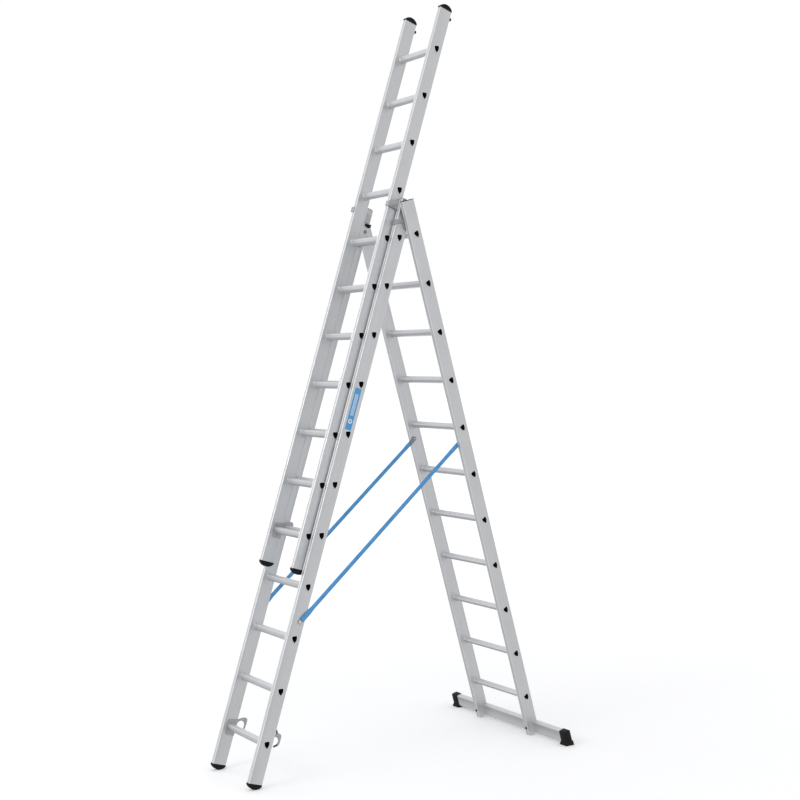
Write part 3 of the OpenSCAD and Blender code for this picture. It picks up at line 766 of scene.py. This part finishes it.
def build_strap(side):
    node = "strap_" + side
    sign = 1 if side == "right" else -1
    low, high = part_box(node)
    inside = low.x if side == "right" else high.x
    start, end = strap_line(node)
    run = end - start
    length = run.length
    along = run.normalized()
    across = Vector((0, -along.z, along.y))
    out = Vector((sign, 0, 0))
    widest, narrow = strap_half_widths(node, start, along, across, length)
    rings, places = [], []
    for k in range(STRAP_STEPS + 1):
        s = length * k / STRAP_STEPS
        near = min(s, length - s)
        share = max(0.0, min(1.0, (near - SLEEVE_LENGTH) / SLEEVE_TAPER))
        full = widest if s < length / 2 else narrow + (widest - narrow) * UPPER_SLEEVE
        half = full + (narrow - full) * (share * share * (3 - 2 * share))
        thick = SLEEVE_THICK if near < SLEEVE_LENGTH else WEB_THICK
        edge = min(WEB_EDGE_ROUND, thick / 3)
        outline = [(-half, edge), (-half + edge, 0.0), (half - edge, 0.0), (half, edge),
                   (half, thick - edge), (half - edge, thick), (0.0, thick + CROWN),
                   (-half + edge, thick), (-half, thick - edge)]
        base = start + along * s
        base.x = inside
        rings.append([base + across * a + out * b for a, b in outline])
        places += [(s, a) for a, _ in outline]
    points, faces = loft(rings, closed=False)
    size = len(rings[0])
    faces += [tuple(range(size)), tuple(range(len(points) - size, len(points)))]
    looks = [0] * len(faces)
    count = int((SLEEVE_LENGTH - 2 * STITCH_START) / STITCH_PITCH)
    for sleeve in (STITCH_START, length - SLEEVE_LENGTH + STITCH_START):
        for offset in (-narrow + STITCH_INSET, 0.0, narrow - STITCH_INSET):
            for s in [sleeve + k * STITCH_PITCH for k in range(count)]:
                centre = start + along * (s + STITCH_LENGTH / 2) + across * offset
                centre.x = inside + sign * SLEEVE_THICK
                first = len(points)
                points += [centre + along * (u * STITCH_LENGTH / 2) + across * (v * STITCH_WIDTH)
                           + out * (w * MM) for u, v, w in STITCH_POINTS]
                places += [(s, offset)] * len(STITCH_POINTS)
                faces += [tuple(first + i for i in face) for face in STITCH_FACES]
                looks += [1] * len(STITCH_FACES)
    mesh = build_mesh(node, points, faces, looks, sharp=50)
    layer = mesh.uv_layers.new(name="strap")
    for loop in mesh.loops:
        layer.data[loop.index].uv = places[loop.vertex_index]
    piece = add_piece(node + "_webbing", mesh, [strap_blue, stitching], node)
    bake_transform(piece)
    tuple(start)
    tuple(end)


def strap_line(node):
    """Middle of the webbing's lower and upper ends."""
    points = node_points(node)
    centre = middle(points)
    along = max(points, key=lambda p: (p - centre).length) - centre
    along.x = 0
    offsets = [p - centre for p in points]
    for _ in range(6):          # settles on the long axis of the points
        along = sum((w * w.dot(along) for w in offsets), Vector()).normalized()
        along.x = 0
        along.normalize()
    if along.z < 0:
        along = -along
    reach = max(abs((p - centre).dot(along)) for p in points)
    return centre - along * reach, centre + along * reach


def strap_half_widths(node, start, along, across, length):
    """Half widths of the CAD strap's sleeves and of its plain webbing."""
    ends, rest = [], []
    for point in node_points(node):
        offset = point - start
        near = min(offset.dot(along), length - offset.dot(along))
        if near < SLEEVE_ZONE:
            ends.append(abs(offset.dot(across)))
        elif near > PLAIN_ZONE:
            rest.append(abs(offset.dot(across)))
    return max(ends), max(rest)


# ---- Label ----

LABEL_CORNER = 2.5 * MM
LABEL_BEVEL = 0.15 * MM


def build_label():
    node = "side_label"
    low, high = main.box(node)
    half_y, half_z = (high.y - low.y) / 2, (high.z - low.z) / 2
    centre = Vector((0, (low.y + high.y) / 2, (low.z + high.z) / 2))
    outline = quarter_turn(arc((half_y - LABEL_CORNER, -half_z + LABEL_CORNER), LABEL_CORNER,
                               -90, 0, 6))
    rings = []
    for x, inset in ((low.x, 0.0), (high.x - LABEL_BEVEL, 0.0), (high.x, LABEL_BEVEL)):
        shrink_y, shrink_z = 1 - inset / half_y, 1 - inset / half_z
        rings.append([(x, centre.y + y * shrink_y, centre.z + z * shrink_z) for y, z in outline])
    points, faces = loft(rings, closed=False)
    size = len(outline)
    faces += [tuple(range(size)), tuple(range(len(points) - size, len(points)))]
    mesh = build_mesh(node, points, faces)
    layer = mesh.uv_layers.new(name="label")
    for loop in mesh.loops:
        point = mesh.vertices[loop.vertex_index].co
        layer.data[loop.index].uv = ((point.z - low.z) / (2 * half_z),
                                     (point.y - low.y) / (2 * half_y))
    piece = add_piece("side_label_film", mesh, [film], node, main.matrix)
    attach(piece, body_of[node])


# ---- Everything in its place ----

for section in (main, upper, support):
    build_rungs(section)
    for side in ("left", "right"):
        build_stile(section, side)
for side in ("left", "right"):
    build_cap(main, "main_foot_" + side, 1)
    build_cap(upper, "upper_bottom_cap_" + side, 1)
    build_cap(upper, "upper_top_cap_" + side, -1)
    build_strap(side)
build_bar()
build_label()

for side in ("left", "right"):
    soften("guide_" + side, bracket_casting, 0.8 * MM, main.matrix)
    soften("hinge_bracket_" + side, bracket_casting, 0.8 * MM, main.matrix)
    soften("hinge_latch_" + side, plastic, 0.8 * MM, main.matrix)
    soften("hinge_pin_" + side, dull_zinc, 0.6 * MM, main.matrix)
    soften("main_plug_" + side, plastic, 0.7 * MM, main.matrix)
    soften("support_plug_" + side, plastic, 0.7 * MM, support.matrix)
    soften("main_hook_" + side, casting, 0.8 * MM, main.matrix)
    soften("upper_hook_" + side, casting, 0.8 * MM, upper.matrix)
    soften("upper_bumper_" + side, plastic, 0.8 * MM, upper.matrix)
    soften("bar_cap_" + side, plastic, 1.6 * MM, support.matrix)
    soften("bar_bracket_" + side, casting, 0.8 * MM, support.matrix)
soften("main_catch", dark_casting, 0.6 * MM, main.matrix)
soften("upper_catch", dark_casting, 0.6 * MM, upper.matrix)
soften("main_catch_pin", zinc, 0.4 * MM, main.matrix)
soften("upper_catch_pin", zinc, 0.4 * MM, upper.matrix)
soften("strap_tabs_main", dull_zinc, 0.4 * MM, main.matrix)
soften("strap_tabs_support", dull_zinc, 0.4 * MM, support.matrix)
soften("strap_rivets_main", zinc, 0.5 * MM, main.matrix)
soften("strap_rivets_support", zinc, 0.5 * MM, support.matrix)
soften("bar_bolts", black_oxide, 0.7 * MM, support.matrix)

# ---- Floor, light and camera ----

FLOOR_HALF = 60.0
GLOW_NEAR, GLOW_FAR = 0.12, 0.28    # the floor's own light, so that it fades into the backdrop
GLOW_START, GLOW_END = 1.5, 9.0     # metres from the origin between which it grows
# The studio's strength: above the horizon, below it, behind on the left, and straight below
SKY_LEFT, SKY_RIGHT = 0.95, 0.84
LOW_LEFT, LOW_RIGHT = 0.66, 0.80
REAR_LEFT = 1.5
UNDER = 0.25
BACKDROP = 1.02                     # what the camera sees behind the ladder

KEY_PLACE, KEY_TARGET = (0.5, -7.5, 5.0), (0.0, 0.0, 1.5)
KEY_SIZE, KEY_POWER = 4.0, 150.0

CAMERA_TARGET = (0.0, 0.1259, 1.8645)
CAMERA_AZIMUTH, CAMERA_ELEVATION = math.radians(55.512), math.radians(2.642)
CAMERA_DISTANCE = 7.509
CAMERA_LENS, CAMERA_SHIFT = 59.144, 0.03


def build_floor():
    corners = [(-1, -1), (1, -1), (1, 1), (-1, 1)]
    mesh = bpy.data.meshes.new("floor")
    mesh.from_pydata([(x * FLOOR_HALF, y * FLOOR_HALF, 0.0) for x, y in corners], [],
                     [(0, 1, 2, 3)])
    floor = bpy.data.objects.new("floor", mesh)
    bpy.context.scene.collection.objects.link(floor)
    g = Graph("floor_paint")
    place = g.coordinates((1.0, 1.0, 1.0))
    speckle = g.noise(g.coordinates((35.0,) * 3), detail=5.0)
    tone = g.mix(speckle, gray(0.90), gray(0.93))
    away = g.node("ShaderNodeVectorMath", {0: place}, operation="LENGTH").outputs["Value"]
    glow = g.spread(away, GLOW_NEAR, GLOW_FAR, GLOW_START, GLOW_END)
    mesh.materials.append(g.set(Base_Color=tone, Roughness=0.9, Specular_IOR_Level=0.0,
                                Emission_Color=gray(1.0), Emission_Strength=glow))
    floor.visible_glossy = False
    floor.visible_diffuse = False


def build_world():
    """Plain white to the eye; as light, a studio that is dimmer low down and dark underneath."""
    world = bpy.data.worlds.new("studio")
    bpy.context.scene.world = world
    world.use_nodes = True
    tree = world.node_tree
    tree.nodes.clear()

    def node(kind, **settings):
        made = tree.nodes.new(kind)
        for key, value in settings.items():
            setattr(made, key, value)
        return made

    def ramp(source, low, high, dark, bright):
        made = node("ShaderNodeMapRange", interpolation_type="SMOOTHSTEP")
        tree.links.new(source, made.inputs["Value"])
        limits = {"From Min": low, "From Max": high, "To Min": dark, "To Max": bright}
        for key, value in limits.items():
            if isinstance(value, bpy.types.NodeSocket):
                tree.links.new(value, made.inputs[key])
            else:
                made.inputs[key].default_value = value
        return made.outputs["Result"]

    direction = node("ShaderNodeTexCoord")
    parts = node("ShaderNodeSeparateXYZ")
    tree.links.new(direction.outputs["Generated"], parts.inputs[0])
    sky = ramp(parts.outputs["X"], -0.6, 0.8, SKY_LEFT, SKY_RIGHT)
    rear = ramp(parts.outputs["Y"], 0.0, 0.5, LOW_LEFT, REAR_LEFT)
    left = ramp(parts.outputs["X"], -0.8, -0.5, rear, LOW_LEFT)
    low = ramp(parts.outputs["X"], -0.2, 0.7, left, LOW_RIGHT)
    strength = ramp(parts.outputs["Z"], -0.3, 0.1, low, sky)
    under = ramp(parts.outputs["Z"], -0.9, -0.5, UNDER, 1.0)
    total = node("ShaderNodeMath", operation="MULTIPLY")
    tree.links.new(strength, total.inputs[0])
    tree.links.new(under, total.inputs[1])
    light = node("ShaderNodeBackground")
    light.inputs["Color"].default_value = (0.98, 0.985, 1.0, 1.0)
    tree.links.new(total.outputs[0], light.inputs["Strength"])
    seen = node("ShaderNodeBackground")
    seen.inputs["Color"].default_value = (1.0, 1.0, 1.0, 1.0)
    seen.inputs["Strength"].default_value = BACKDROP
    path = node("ShaderNodeLightPath")
    mix = node("ShaderNodeMixShader")
    out = node("ShaderNodeOutputWorld")
    tree.links.new(path.outputs["Is Camera Ray"], mix.inputs[0])
    tree.links.new(light.outputs[0], mix.inputs[1])
    tree.links.new(seen.outputs[0], mix.inputs[2])
    tree.links.new(mix.outputs[0], out.inputs[0])


def area_light(name, place, target, size, power):
    data = bpy.data.lights.new(name, "AREA")
    data.shape, data.size, data.energy = "DISK", size, power
    lamp = bpy.data.objects.new(name, data)
    bpy.context.scene.collection.objects.link(lamp)
    lamp.location = place
    lamp.rotation_mode = "QUATERNION"
    lamp.rotation_quaternion = (Vector(target) - Vector(place)).to_track_quat("-Z", "Y")


def build_camera():
    back = Vector((math.sin(CAMERA_AZIMUTH) * math.cos(CAMERA_ELEVATION),
                   -math.cos(CAMERA_AZIMUTH) * math.cos(CAMERA_ELEVATION),
                   math.sin(CAMERA_ELEVATION)))
    data = bpy.data.cameras.new("camera")
    data.sensor_width, data.lens, data.shift_y = 36.0, CAMERA_LENS, CAMERA_SHIFT
    camera = bpy.data.objects.new("camera", data)
    bpy.context.scene.collection.objects.link(camera)
    camera.location = Vector(CAMERA_TARGET) + back * CAMERA_DISTANCE
    camera.rotation_mode = "QUATERNION"
    camera.rotation_quaternion = (-back).to_track_quat("-Z", "Y")
    bpy.context.scene.camera = camera


build_floor()
build_world()
area_light("key", KEY_PLACE, KEY_TARGET, KEY_SIZE, KEY_POWER)
build_camera()
bpy.context.scene.view_settings.view_transform = "Standard"
